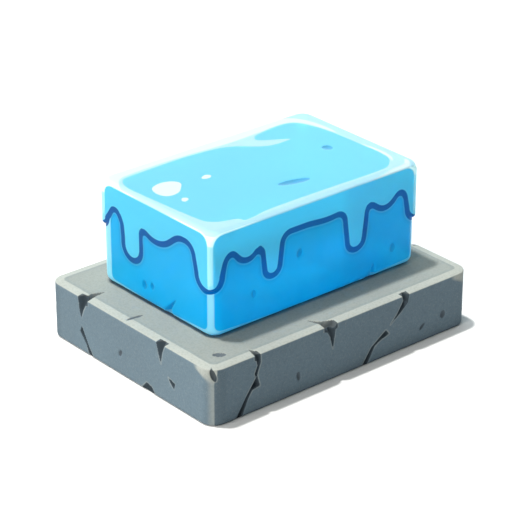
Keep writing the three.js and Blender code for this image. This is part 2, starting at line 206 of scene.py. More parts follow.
# How near an outline a point is slid onto it, and how far behind a side its hollows reach
SNAP_REACH = 0.5
PIT_REACH = 4
# The layer's lip: how far below and above its edge the mesh is finest, and the width of its roundness
LIP_BELOW = 2.5
LIP_ABOVE = 4.5
LIP_WIDTH = 3.2
# How far over the rounded top edge the rim of frost and painted highlight starts, and its rounding into the
# corners' highlight bands
RIM_START = 6.0
RIM_FILLET = 12
# The painted highlight band on each upright corner, from the front right one on: its middle's distance
# past the corner's, and half its width on the body and on the layer; then how far from the corner it still
# brightens
CORNER_HIGHLIGHTS = ((0, 5.5, 5), (0, 5, 4), (0, 14, 6.5), (-2.1, 3.4, 2.8))
CORNER_REACH = 100
# The painted highlight band along the bottom edge: its height, how slowly it falls, how far at most, and
# its rounding
FOOT_BAND = 7.5
FOOT_BAND_RUN = 18
FOOT_BAND_FALL = 7
FOOT_FILLET = 6
# How far a notch's walls lean for each millimetre of depth
NOTCH_STEEPNESS = 0.45
# Thickness of the air under the ice, which makes its underside shine from inside
AIR_GAP = 0.3
# The innermost ring on the block's top: distance from the middle line, and smallest corner radius
INNERMOST_RING = 2.0
SHARPEST_CORNER = 0.4
# The slab's rim: drop, radius of its outer edge, width past its colour, and the power that bends its slope
RIM_DROP = 1.2
RIM_EDGE = 1.2
PAST_RIM = 1
RIM_CURVE = 1.3
# The rings inside the rim: how far in they go, and by how much their corners grow rounder
TOP_MARGIN = 46.0
INNER_ROUNDING = 6
DEEPEST_CRACK = 6
CHIP_DEPTH = 2
TOP_PIT_DEPTH = 1.5
# The outline on which the ice stands: how far it is inside the widest one, and its corner radius
FOOTPRINT_INSET = 11
FOOTPRINT_CORNER = 6

# Clear ice: how it bends light, its gloss, the light that it lets through, and what it takes per metre
ICE_IOR = 1.31
GLOSS_TINT = (0.07, 0.75, 1)
LET_THROUGH = (0, 0.86, 0.985)
ABSORPTION = 10.0
# The floor's two greys, and how far it reaches to each side in metres
FLOOR_TINTS = ((0.66, 0.66, 0.66), (0.68, 0.68, 0.68))
FLOOR_REACH = 6.0
# The light all round, and the direction and strength of the glow behind the block
STUDIO_TINT = (0.8, 0.95, 1)
STUDIO_LIGHT = 0.2
GLOW_TOWARDS = (0.5, 0.86, 0)
GLOW_LIGHT = 1.85


def colour(code):
    """A six-digit colour code as the linear values that a shader takes."""
    values = [int(code[i:i + 2], 16) / 255 for i in (0, 2, 4)]
    return tuple(v / 12.92 if v <= 0.04045 else ((v + 0.055) / 1.055) ** 2.4 for v in values)


def colour_property(name, description, code):
    return bpy.props.FloatVectorProperty(
        name=name, description="Colour of " + description, subtype="COLOR", size=3, min=0, max=1,
        default=colour(code))


def length_property(name, description, millimetres):
    return bpy.props.FloatProperty(
        name=name, description=description, unit="LENGTH", subtype="DISTANCE", min=0,
        default=millimetres * MM)


class IceSettings(bpy.types.PropertyGroup):
    """Sizes and colours of the block of ice."""
    layer: length_property("Layer", "Thickness of the refrozen layer", 3)
    corner: length_property("Corner", "Radius of the body's upright corners", 13)
    foot: length_property("Foot", "Radius of the rounded bottom edge", 8)
    top_edge: length_property("Top edge", "Radius of the rounded top edge", 9)
    line_width: length_property("Drip line", "Width of the dark line along the drips", 6)
    top: colour_property("Top", "the clear part of the top", "7ce2ff")
    layer_tint: colour_property("Layer tint", "the refrozen layer", "66e6ff")
    body_tint: colour_property("Body tint", "the body below the drips", "14bef2")
    # Colour of the painted shade along the drips' edge and in the block's hollows and notches
    line_tint: colour_property("Line tint", "the shaded line under the drips", "005298")
    # The thick frost's white patches stand for glare: painted highlight laid as frost
    frost: colour_property("Frost", "the thick frost", "b2b9c0")
    # The rim is frost and painted highlight
    rim_frost_and_highlight: colour_property("Pale frost", "the frosted rim", "9eb0c4")
    # Colour of the painted highlights along the edges and corners, laid as frost
    frost_highlight: colour_property("Bright frost", "the frost along the edges", "d2fcff")
    # Colour of the painted highlights on the corners, along the bottom edge and beside the drips, and of
    # the rim and the milky clouds
    corner_tint: colour_property("Corner tint", "the upright corners' paler band", "94f4ff")


class StoneSettings(bpy.types.PropertyGroup):
    """Sizes and colours of the slab."""
    corner: length_property("Corner", "Radius of the slab's upright corners", 15)
    # The pale rim along the top edge is painted highlight
    rim: length_property("Rim", "Width of the pale sloping rim along the top edge", 9)
    foot: length_property("Foot", "Radius of the bottom edge", 3)
    # The wet band round the ice is also painted contact shade
    damp_and_shade_width: length_property("Damp band", "Width of the damp band round the ice", 7)
    top: colour_property("Top", "the top", "848984")
    side: colour_property("Side", "the sides", "596b76")
    # Colour of the painted highlights along the top edge, the corners and the crack lips, the last two
    # partly wear, and of light specks
    rim_tint: colour_property("Rim tint", "the worn edges", "9da099")
    # The crack colour is painted shade in the cracks and past the corners, and also dark specks
    crack: colour_property("Crack", "the cracks' inside", "232e36")
    # The pit colour is painted shade in the hollows, and also mottling
    pit: colour_property("Pit", "the small hollows", "444d55")
    # Colour of the wet stone round the ice's foot, also painted contact shade
    damp_and_shade: colour_property("Damp", "the damp stone at the ice's foot", "343e47")


def settings():
    return bpy.context.scene.ice_block_settings, bpy.context.scene.stone_slab_settings


class Outline:
    """A rounded rectangle, walked round counter-clockwise from the left end of its straight front side."""

    def __init__(self, length, depth, corner):
        self.half_x = length / 2 - corner
        self.half_y = depth / 2 - corner
        self.radius = corner
        self.arc = corner * math.pi / 2
        self.halves = np.array([self.half_x, self.half_y, self.half_x, self.half_y])
        self.starts = np.concatenate([[0], np.cumsum(2 * self.halves + self.arc)])
        self.total = self.starts[4]

    def distance_to(self, side, along):
        index = SIDES.index(side)
        return self.starts[index] + self.halves[index] + SENSE[side] * along

    def side_at(self, distances):
        """The number of the side that each distance lies on, a corner being shared by its two sides."""
        turned = (distances + self.arc / 2) % self.total
        return np.searchsorted(self.starts, turned, side="right") - 1

    def from_corner(self, distances):
        """How far each distance is past the middle of the nearest corner, and which corner that is."""
        middles = self.starts[1:] - self.arc / 2
        gaps = (distances[:, None] - middles[None, :] + self.total / 2) % self.total - self.total / 2
        corner = np.abs(gaps).argmin(axis=1)
        return gaps[np.arange(len(gaps)), corner], corner

    def fractions(self, distances):
        """Side and share of it, arcs counting from 1 to 2: places that another outline can read."""
        side = np.searchsorted(self.starts, distances % self.total, side="right") - 1
        rest = distances % self.total - self.starts[side]
        straight = 2 * self.halves[side]
        share = np.where(rest < straight, rest / straight, 1 + (rest - straight) / self.arc)
        return side, share

    def read(self, side, share):
        straight = 2 * self.halves[side]
        return self.starts[side] + np.where(share < 1, share * straight, straight + (share - 1) * self.arc)

    def points(self, distances, outward):
        """x and y at distances, moved outward; outward may have rows."""
        side = np.searchsorted(self.starts, distances % self.total, side="right") - 1
        rest = distances % self.total - self.starts[side] - 2 * self.halves[side]
        heading = side * math.pi / 2 + np.maximum(rest, 0) / self.radius
        back = np.maximum(-rest, 0)
        centre_x = np.where(side < 2, self.half_x, -self.half_x)
        centre_y = np.where((side == 1) | (side == 2), self.half_y, -self.half_y)
        reach = self.radius + outward
        x = centre_x - back * np.cos(heading) + reach * np.sin(heading)
        y = centre_y - back * np.sin(heading) - reach * np.cos(heading)
        return x, y


def smooth_union(first, second, fillet):
    overlap = np.maximum(fillet - np.abs(first - second), 0) / fillet
    return np.minimum(first, second) - overlap * overlap * fillet / 4


def melt_distance(outline, distances, heights):
    """Signed distance to the refrozen layer's edge, negative inside the layer, before it is evened out."""
    curtain = np.array([CURTAIN[side] for side in SIDES])[outline.side_at(distances)]
    nearest = curtain - heights
    for side, along, radius, low, flare in DRIPS:
        offset = np.abs(distances - outline.distance_to(side, along)) % outline.total
        offset = np.minimum(offset, outline.total - offset)
        across = np.maximum(offset - flare * np.maximum(heights - low - radius, 0), 0)
        below = np.maximum(low + radius - heights, 0)
        nearest = smooth_union(nearest, np.hypot(across, below) - radius, DRIP_FILLET)
    return nearest


def even_melt_distance(outline, distances, heights):
    """The same divided by its own slope, so that a band along the edge has one width everywhere."""
    step, least_slope = 0.25, 0.6
    middle = melt_distance(outline, distances, heights)
    along = (melt_distance(outline, distances + step, heights) - middle) / step
    up = (melt_distance(outline, distances, heights + step) - middle) / step
    return middle / np.maximum(np.hypot(along, up), least_slope)


def melt_edge_height(outline, distances, top):
    """Height of the layer's lower edge, by halving the range that holds it."""
    below = np.full(len(distances), LOWEST_DRIP)
    above = np.full(len(distances), float(top))
    for _ in range(24):
        middle = (above + below) / 2
        outside = melt_distance(outline, distances, middle) > 0
        below = np.where(outside, middle, below)
        above = np.where(outside, above, middle)
    return above


def outline_distance(corners, x, y):
    """Signed distance from points to a closed outline of straight edges, negative inside."""
    corners = np.array(corners, float)
    nearest = np.full(x.shape, np.inf)
    inside = np.zeros(x.shape, bool)
    for (ax, ay), (bx, by) in zip(corners, np.roll(corners, -1, axis=0)):
        edge_x, edge_y = bx - ax, by - ay
        share = np.clip(((x - ax) * edge_x + (y - ay) * edge_y) / (edge_x ** 2 + edge_y ** 2), 0, 1)
        nearest = np.minimum(nearest, np.hypot(x - ax - share * edge_x, y - ay - share * edge_y))
        crosses = (ay > y) != (by > y)
        with np.errstate(divide="ignore", invalid="ignore"):
            inside ^= crosses & (x < ax + (y - ay) * edge_x / edge_y)
    return np.where(inside, -nearest, nearest)


def rounded(corners):
    """An outline with its corners cut twice, so that it looks drawn with a brush."""
    for _ in range(2):
        corners = np.array(corners, float)
        following = np.roll(corners, -1, axis=0)
        corners = np.stack([0.75 * corners + 0.25 * following, 0.25 * corners + 0.75 * following], axis=1)
        corners = corners.reshape(-1, 2)
    return corners


def oval_distance(x, y, middle_x, middle_y, half_x, half_y, turn):
    """Rough signed distance to a turned oval, negative inside, and how deep inside it is from 0 to 1."""
    angle = math.radians(turn)
    along = (x - middle_x) * math.cos(angle) + (y - middle_y) * math.sin(angle)
    across = -(x - middle_x) * math.sin(angle) + (y - middle_y) * math.cos(angle)
    radius = np.hypot(along / half_x, across / half_y)
    slope = np.hypot(along / half_x ** 2, across / half_y ** 2) / np.maximum(radius, 1e-6)
    return (radius - 1) / np.maximum(slope, 1e-3), np.sqrt(np.clip(1 - radius ** 2, 0, 1))


def ripple(points, wavelength, seed):
    """Smooth random height over points, about -1 to 1, as a sum of sine waves of about one length."""
    waves = 14
    random = np.random.default_rng(seed)
    total = np.zeros(points.shape[:-1])
    for _ in range(waves):
        direction = random.normal(size=3)
        direction *= 2 * math.pi / (wavelength * random.uniform(0.7, 1.5) * np.linalg.norm(direction))
        total += np.sin(points @ direction + random.uniform(0, 2 * math.pi))
    return total / math.sqrt(waves)


class Surface:
    """Points and faces of one piece in millimetres, with named values at the points."""

    def __init__(self, **usual):
        """Takes the name of each value, with the number of those points that are added without it."""
        self.usual = usual
        self.values = {name: [] for name in usual}
        self.points = []
        self.faces = []
        self.count = 0

    def add_points(self, points, **values):
        """Adds points and returns their numbers."""
        points = np.asarray(points, float).reshape(-1, 3)
        self.points.append(points)
        for name, usual in self.usual.items():
            self.values[name].append(np.broadcast_to(values.get(name, usual), len(points)))
        self.count += len(points)
        return np.arange(self.count - len(points), self.count)

    def add_faces(self, *corners):
        self.faces.append(np.stack([np.ravel(c) for c in corners], axis=1))

    def join_rings(self, low, high):
        """Joins two rings of equally many points by four-sided faces."""
        self.add_faces(low, np.roll(low, -1), np.roll(high, -1), high)

    def add_rings(self, points, **values):
        """Adds rows of points as rings, joins each to the one before it, and returns their numbers."""
        rings = [self.add_points(ring, **{name: rows[row] for name, rows in values.items()})
                 for row, ring in enumerate(points)]
        for low, high in zip(rings[:-1], rings[1:]):
            self.join_rings(low, high)
        return rings

    def join_halved(self, low, high):
        """Joins a ring to one with half as many points by triangles."""
        first, second, third = low[0::2], low[1::2], np.roll(low, -2)[0::2]
        self.add_faces(first, second, high)
        self.add_faces(high, second, np.roll(high, -1))
        self.add_faces(second, third, np.roll(high, -1))

    def close(self, ring, height, upward, **values):
        """Closes a ring by triangles that meet in one point on the piece's middle axis."""
        middle = np.repeat(self.add_points([[0, 0, height]], **values), len(ring))
        following = np.roll(ring, -1)
        if upward:
            self.add_faces(ring, following, middle)
        else:
            self.add_faces(following, ring, middle)

    def to_object(self, name, offset):
        points = (np.concatenate(self.points) + offset) * MM
        faces = [face for block in self.faces for face in block.tolist()]
        mesh = bpy.data.meshes.new(name)
        mesh.from_pydata(points.tolist(), [], faces)
        for key, numbers in self.values.items():
            attribute = mesh.attributes.new(key, "FLOAT", "POINT")
            attribute.data.foreach_set("value", np.concatenate(numbers).astype(np.float32))
        mesh.polygons.foreach_set("use_smooth", np.ones(len(mesh.polygons), bool))
        mesh.update()
        mesh.validate()
        piece = bpy.data.objects.new(name, mesh)
        bpy.context.scene.collection.objects.link(piece)
        return piece


def quarter_round(outward, height, radius, steps, from_angle):
    """Points of a quarter-round edge: distance out of the outline, and height."""
    angles = from_angle + np.linspace(0, math.pi / 2, steps + 1)
    return outward + radius * np.cos(angles), height + radius * np.sin(angles)


def side_axes(side):
    """Numbers of the axes that run along a side and out of it, and the sign of the one out of it."""
    along = 0 if side in ("front", "back") else 1
    return along, 1 - along, 1 if side in ("right", "back") else -1


def depth_behind(points, side, reach):
    """How far points lie behind the plane of a side, which is reach away from the middle."""
    _, axis, sign = side_axes(side)
    return reach - sign * points[..., axis]


def sink_side(points, side, reach, floor):
    """Moves points inward, level, until they are as far behind the plane of a side as floor says."""
    _, axis, sign = side_axes(side)
    points[..., axis] -= sign * np.maximum(floor - depth_behind(points, side, reach), 0)


def snap_to_outline(points, axis_along, outline, distance):
    """Slides points that are close to an outline onto it, so that its edge runs along the mesh."""
    step = 0.05
    along, up = points[..., axis_along], points[..., 2]
    slope_along = (outline_distance(outline, along + step, up) - distance) / step
    slope_up = (outline_distance(outline, along, up + step) - distance) / step
    close = np.abs(distance) < SNAP_REACH
    points[..., axis_along] = np.where(close, along - distance * slope_along, along)
    points[..., 2] = np.where(close, up - distance * slope_up, up)
    return np.where(close, 0.0, distance)


def cut_side_features(points, half_sizes, cuts, deepest, pits, pit_depth):
    """Sinks cracks, chips and hollows into the sides, and returns the distances to both kinds."""
    cracks = np.full(points.shape[:-1], FAR)
    hollows = np.full(points.shape[:-1], FAR)
    for side, steepness, outline in cuts:
        axis_along, axis_out, _ = side_axes(side)
        reach = half_sizes[axis_out]
        near = depth_behind(points, side, reach) < deepest
        distance = outline_distance(outline, points[..., axis_along], points[..., 2])
        distance = snap_to_outline(points, axis_along, outline, np.where(near, distance, FAR))
        cracks = np.minimum(cracks, distance)
        sink_side(points, side, reach, np.where(near, np.clip(-distance / steepness, 0, deepest), NOT_SUNK))
    for side, along_middle, up, half_width, half_height, turn in pits:
        axis_along, axis_out, _ = side_axes(side)
        reach = half_sizes[axis_out]
        near = depth_behind(points, side, reach) < PIT_REACH
        along = SENSE[side] * points[..., axis_along]
        distance, depth = oval_distance(
            along, points[..., 2], SENSE[side] * along_middle, up, half_width, half_height, turn)
        hollows = np.where(near, np.minimum(hollows, distance), hollows)
        sink_side(points, side, reach, np.where(near & (distance < 0), depth * pit_depth, NOT_SUNK))
    return cracks, hollows


def drip_line_distances(outline, columns, top):
    """Distances round the block, evenly spaced along the drip line so that steep drips get more of them."""
    fine_steps = 4000
    fine = np.linspace(0, outline.total, fine_steps + 1)
    heights = melt_edge_height(outline, fine, top)
    lengths = np.concatenate([[0], np.cumsum(np.hypot(np.diff(fine), np.diff(heights)))])
    wanted = np.arange(columns) / columns * lengths[-1]
    return np.interp(wanted, lengths, fine)


def size_and_place(box):
    """Size of a box, and the middle of its underside."""
    low, high = (np.array(corner) / MM for corner in box)
    return high - low, np.array([(low[0] + high[0]) / 2, (low[1] + high[1]) / 2, low[2]])


def frost_values(x, y):
    """Signed distances to the clear part of the block's top and to the white patches of painted glare laid
    as thicker frost.
    """
    thick = np.full(x.shape, FAR)
    for patch in FROST_GLARE_PATCHES:
        thick = np.minimum(thick, outline_distance(rounded(patch), x, y))
    return dict(clear_top=outline_distance(rounded(CLEAR_TOP), x, y), frost_glare=thick)


def highlight_band(outline, around, heights, over_edge, in_layer):
    """Signed distance to the painted highlight bands on the block's sides, and nearness to a corner from 0
    to 1.
    """
    past_corner, corner = outline.from_corner(around)
    band_middle, body_band, layer_band = np.array(CORNER_HIGHLIGHTS)[corner].T
    corner_gap = np.broadcast_to(np.abs(past_corner - band_middle), heights.shape)
    band = np.where(in_layer, layer_band, body_band)
    face_edge = smooth_union(RIM_START - over_edge, corner_gap - band, RIM_FILLET)
    foot_fall = np.clip(corner_gap / FOOT_BAND_RUN, 0, FOOT_BAND_FALL)
    face_edge = smooth_union(face_edge, heights - FOOT_BAND + foot_fall, FOOT_FILLET)
    return face_edge, np.clip(1 - corner_gap / CORNER_REACH, 0, 1)


def ice_surface(ice):
    """The block of ice: body, refrozen layer with its lip, notches, hollows and dents."""
    layer, corner, foot, top_edge = (v / MM for v in (ice.layer, ice.corner, ice.foot, ice.top_edge))
    (length, depth, height), offset = size_and_place(ICE_BOX)
    length -= 2 * layer
    depth -= 2 * layer
    outline = Outline(length, depth, corner)
    columns = 832
    side_top = height - top_edge
    around = drip_line_distances(outline, columns, side_top)
    edge = melt_edge_height(outline, around, side_top)

    foot_out, foot_up = quarter_round(-foot, foot, foot, steps=6, from_angle=-math.pi / 2)
    rows = [np.full(columns, up) for up in foot_up]
    lip_low, lip_high = edge - LIP_BELOW, edge + LIP_ABOVE
    for start, end, steps in ((foot, lip_low, 32), (lip_low, lip_high, 14), (lip_high, side_top, 16)):
        rows += [start + (end - start) * step / steps for step in range(1, steps + 1)]
    heights = np.array(rows)
    outward = np.zeros_like(heights)
    outward[:len(foot_out)] = foot_out[:, None]

    distance = even_melt_distance(outline, np.broadcast_to(around, heights.shape).ravel(), heights.ravel())
    distance = distance.reshape(heights.shape)
    rise = np.clip(-distance / LIP_WIDTH, 0, 1)
    outward += layer * np.sqrt(1 - (1 - rise) ** 2)

    round_steps = 14
    round_out, round_up = quarter_round(layer - top_edge, side_top, top_edge, round_steps, from_angle=0)
    round_run = np.linspace(0, math.pi / 2, round_steps + 1)[1:] * top_edge
    over_edge = np.vstack([heights - side_top, np.repeat(round_run[:, None], columns, axis=1)])
    heights = np.vstack([heights, np.repeat(round_up[1:, None], columns, axis=1)])
    outward = np.vstack([outward, np.repeat(round_out[1:, None], columns, axis=1)])
    distance = np.vstack([distance, np.full((round_steps, columns), -FAR)])

    x, y = outline.points(around, outward)
    points = np.stack([x, y, heights], axis=-1)
    cuts = [(side, NOTCH_STEEPNESS, notch) for side, notch in ICE_NOTCHES]
    notches, hollows = cut_side_features(
        points, (length / 2, depth / 2), cuts, deepest=14, pits=ICE_PITS, pit_depth=1.6)
    points[..., 2] = np.maximum(points[..., 2], AIR_GAP)
    face_edge, corner_near = highlight_band(outline, around, heights, over_edge, distance < 0)
    frost = frost_values(x, y)
    frost["frost_glare"][over_edge < 0] = FAR

    surface = Surface(
        drip_edge=-FAR, over_edge=0, face_edge=-FAR, notch=FAR, hollow=FAR, corner_near=0,
        clear_top=FAR, frost_glare=FAR)
    rings = surface.add_rings(
        points, drip_edge=distance, over_edge=over_edge, face_edge=face_edge, notch=notches, hollow=hollows,
        corner_near=corner_near, **frost)
    surface.close(rings[0], AIR_GAP, upward=False, over_edge=-height, face_edge=FAR)

    top_length, top_depth = length + 2 * round_out[-1], depth + 2 * round_out[-1]
    top_corner = corner + round_out[-1]
    side, share = outline.fractions(around[::2])
    ring_count = 56
    previous = rings[-1]
    for step in range(1, ring_count + 1):
        inset = (top_depth / 2 - INNERMOST_RING) * step / ring_count
        ring_corner = max(top_corner * (1 - step / ring_count), SHARPEST_CORNER)
        ring = Outline(top_length - 2 * inset, top_depth - 2 * inset, ring_corner)
        x, y = ring.points(ring.read(side, share), 0)
        hollow = np.full(len(x), FAR)
        sunk = np.zeros(len(x))
        for *oval, dent_depth in TOP_DENTS:
            dent, depth_share = oval_distance(x, y, *oval)
            hollow = np.minimum(hollow, dent)
            sunk = np.maximum(sunk, dent_depth * depth_share)
        numbers = surface.add_points(
            np.stack([x, y, height - sunk], axis=-1), over_edge=round_run[-1] + inset, hollow=hollow,
            **frost_values(x, y))
        if step == 1:
            surface.join_halved(previous, numbers)
        else:
            surface.join_rings(previous, numbers)
        previous = numbers
    surface.close(previous, height, upward=True, over_edge=top_depth / 2, clear_top=-FAR)
    return surface, offset


def chip_corners(points, outline, cracks):
    """Sinks the chips into the upright corners, and returns the distances to cracks and chips together."""
    for facing, up, half_width, half_height, turn in CORNER_CHIPS:
        angle = math.radians(facing)
        from_x = points[..., 0] - math.copysign(outline.half_x, math.sin(angle))
        from_y = points[..., 1] + math.copysign(outline.half_y, math.cos(angle))
        across = from_x * math.cos(angle) + from_y * math.sin(angle)
        out = from_x * math.sin(angle) - from_y * math.cos(angle)
        distance, share = oval_distance(across, points[..., 2], 0, up, half_width, half_height, turn)
        near = (out > 0) & (distance < 0)
        sink = np.where(near, np.maximum(out - outline.radius + CHIP_DEPTH * share, 0), 0)
        points[..., 0] -= sink * math.sin(angle)
        points[..., 1] += sink * math.cos(angle)
        cracks = np.where(out > 0, np.minimum(cracks, distance), cracks)
    return cracks


def cut_slab_top(points, height, cracks, hollows):
    """Carries cracks on over the slab's top and sinks its pits. Returns the distances, these included."""
    upper = points[..., 2] > height - DEEPEST_CRACK - 1
    for steepness, cut in SLAB_TOP_CUTS:
        distance = np.where(upper, outline_distance(cut, points[..., 0], points[..., 1]), FAR)
        sunk_to = height - np.clip(-distance / steepness, 0, DEEPEST_CRACK)
        points[..., 2] = np.where(distance < 0, np.minimum(points[..., 2], sunk_to), points[..., 2])
        cracks = np.minimum(cracks, distance)
    for oval in SLAB_TOP_PITS:
        distance, share_in = oval_distance(points[..., 0], points[..., 1], *oval)
        distance = np.where(upper, distance, FAR)
        points[..., 2] -= np.where(distance < 0, TOP_PIT_DEPTH * share_in, 0)
        hollows = np.minimum(hollows, distance)
    return cracks, hollows


def distance_to_ice(points, offset, height):
    """Signed distance from points on the slab's top to the outline on which the ice stands."""
    size, middle = size_and_place(ICE_BOX)
    half = size / 2 - FOOTPRINT_INSET - FOOTPRINT_CORNER
    gap_x = np.abs(points[..., 0] + offset[0] - middle[0]) - half[0]
    gap_y = np.abs(points[..., 1] + offset[1] - middle[1]) - half[1]
    outside = np.hypot(np.maximum(gap_x, 0), np.maximum(gap_y, 0))
    distance = outside + np.minimum(np.maximum(gap_x, gap_y), 0) - FOOTPRINT_CORNER
    return np.where(points[..., 2] > height - 1, distance, FAR)


def wear_sides(points, side_top):
    """Makes the slab's sides a little uneven, but not along the bottom edge."""
    coarse, fine = ripple(points, wavelength=38, seed=5), ripple(points, wavelength=13, seed=6)
    wear = np.abs(0.066 * coarse + 0.03 * fine)
    wear *= np.clip((points[..., 2] - 1) / 6, 0, 1) * (points[..., 2] < side_top)
    level = points[..., :2]
    from_middle = np.maximum(np.linalg.norm(level, axis=-1, keepdims=True), 1)
    points[..., :2] -= wear[..., None] * level / from_middle


def slab_surface(stone):
    """The stone slab: sides with cracks, chips and hollows, a sloping rim, and the flat top."""
    corner, rim, foot = (v / MM for v in (stone.corner, stone.rim, stone.foot))
    (length, depth, height), offset = size_and_place(SLAB_BOX)
    outline = Outline(length, depth, corner)
    columns = 1024
    around = np.arange(columns) / columns * outline.total

    foot_out, foot_up = quarter_round(-foot, foot, foot, steps=4, from_angle=-math.pi / 2)
    side_top = height - RIM_DROP - RIM_EDGE
    side_steps, slope_steps = 45, 8
    side_up = np.linspace(foot, side_top, side_steps + 1)[1:]
    edge_out, edge_up = quarter_round(-RIM_EDGE, side_top, RIM_EDGE, steps=5, from_angle=0)
    slope = np.linspace(0, 1, slope_steps + 1)[1:]
    slope_in = RIM_EDGE + (rim + PAST_RIM - RIM_EDGE) * slope
    slope_up = height - RIM_DROP * (1 - slope) ** RIM_CURVE
    outward = np.concatenate([foot_out, np.zeros(len(side_up)), edge_out[1:], -slope_in])
    heights = np.concatenate([foot_up, side_up, edge_up[1:], slope_up])
    # Negative below the top edge, and over it the distance in from the edge
    over_rim = np.concatenate([foot_up - side_top, side_up - side_top, -edge_out[1:], slope_in])
    x, y = outline.points(around, outward[:, None])
    points = np.stack([x, y, np.broadcast_to(heights[:, None], x.shape)], axis=-1).copy()
    cracks, hollows = cut_side_features(
        points, (length / 2, depth / 2), SLAB_CUTS, deepest=DEEPEST_CRACK, pits=SLAB_PITS, pit_depth=2)
    points[..., 2] = np.maximum(points[..., 2], 0)
    cracks = chip_corners(points, outline, cracks)

    rim_inset = slope_in[-1]
    ring_count = 28
    insets = rim_inset + TOP_MARGIN * np.arange(1, ring_count + 1) / ring_count
    side, share = outline.fractions(around)
    top_rows = []
    for inset in insets:
        ring_corner = corner - rim_inset + INNER_ROUNDING * (inset - rim_inset) / TOP_MARGIN
        ring = Outline(length - 2 * inset, depth - 2 * inset, ring_corner)
        x, y = ring.points(ring.read(side, share), 0)
        top_rows.append(np.stack([x, y, np.full(columns, height)], axis=-1))
    untouched = np.full((ring_count, columns), FAR)
    points = np.concatenate([points, top_rows])
    over_rim = np.concatenate([over_rim, insets])
    cracks, hollows = cut_slab_top(
        points, height, np.concatenate([cracks, untouched]), np.concatenate([hollows, untouched]))
    ice_gap = distance_to_ice(points, offset, height)
    wear_sides(points, side_top)
    upright, _ = outline.from_corner(around)

    surface = Surface(crack=FAR, hollow=FAR, over_rim=0, ice_gap=FAR, upright=FAR)
    rings = surface.add_rings(
        points, crack=cracks, hollow=hollows, over_rim=over_rim, ice_gap=ice_gap,
        upright=np.broadcast_to(upright, cracks.shape))
    surface.close(rings[0], 0, upward=False, over_rim=-height)
    surface.close(rings[-1], height, upward=True, over_rim=height, ice_gap=-FAR)
    return surface, offset


def math_node(operation, reflected=False):
    """A method of Value that adds a Math node."""
    def method(value, *others):
        terms = (*others, value) if reflected else (value, *others)
        return value.shader.node("ShaderNodeMath", {"operation": operation}, dict(enumerate(terms)))[0]
    return method


class Value:
    """A shader socket in an expression: sums on it add Math nodes."""

    def __init__(self, shader, socket):
        self.shader = shader
        self.socket = socket

    __add__ = __radd__ = math_node("ADD")
    __mul__ = __rmul__ = math_node("MULTIPLY")
    __sub__ = math_node("SUBTRACT")
    __rsub__ = math_node("SUBTRACT", reflected=True)
    __abs__ = math_node("ABSOLUTE")
    larger = math_node("MAXIMUM")
    smaller = math_node("MINIMUM")

    def above(self, limit, softness):
        """0 below the limit and 1 above it, with a soft step of that width."""
        return self.shader.node("ShaderNodeMapRange", {"interpolation_type": "SMOOTHSTEP"}, {
            "Value": self, "From Min": limit - softness / 2, "From Max": limit + softness / 2})[0]

    def below(self, limit, softness):
        return 1 - self.above(limit, softness)


class Shader:
    """The nodes of a new material or world, written as expressions."""

    def __init__(self, owner):
        self.owner = owner
        owner.use_nodes = True
        self.tree = owner.node_tree
        self.tree.nodes.clear()

    def node(self, kind, settings, inputs):
        """Adds a node with its settings and its sockets' values or links, and returns its outputs."""
        made = self.tree.nodes.new(kind)
        for key, setting in settings.items():
            setattr(made, key, setting)
        for key, given in inputs.items():
            socket = made.inputs[key]
            if isinstance(given, Value):
                self.tree.links.new(given.socket, socket)
            elif socket.type == "RGBA":
                socket.default_value = (*given, 1)
            else:
                socket.default_value = given
        return [Value(self, socket) for socket in made.outputs]

    def attributes(self, *names):
        return [self.node("ShaderNodeAttribute", {"attribute_name": name}, {})[2] for name in names]

    def noise(self, scale, detail=3, roughness=0.5, distortion=0):
        return self.node("ShaderNodeTexNoise", {}, {
            "Vector": self.node("ShaderNodeTexCoord", {}, {})[3], "Scale": scale, "Detail": detail,
            "Roughness": roughness, "Distortion": distortion})[0]

    def mix(self, share, first, second):
        return self.node("ShaderNodeMix", {"data_type": "RGBA"}, {0: share, 6: first, 7: second})[2]

    def cover(self, tint, *layers):
        """Lays colours over a tint one after the other, each by its share."""
        for share, over in layers:
            tint = self.mix(share, tint, over)
        return tint

    def bump(self, height, strength, distance):
        return self.node("ShaderNodeBump", {}, {
            "Height": height, "Strength": strength, "Distance": distance})[0]

    def finish(self, **shaders):
        """Links the shaders to the output's sockets, and returns the material or world."""
        is_world = isinstance(self.owner, bpy.types.World)
        self.node("ShaderNodeOutputWorld" if is_world else "ShaderNodeOutputMaterial", {}, shaders)
        return self.owner


# In the materials, limits and softness are in millimetres where the value is a distance


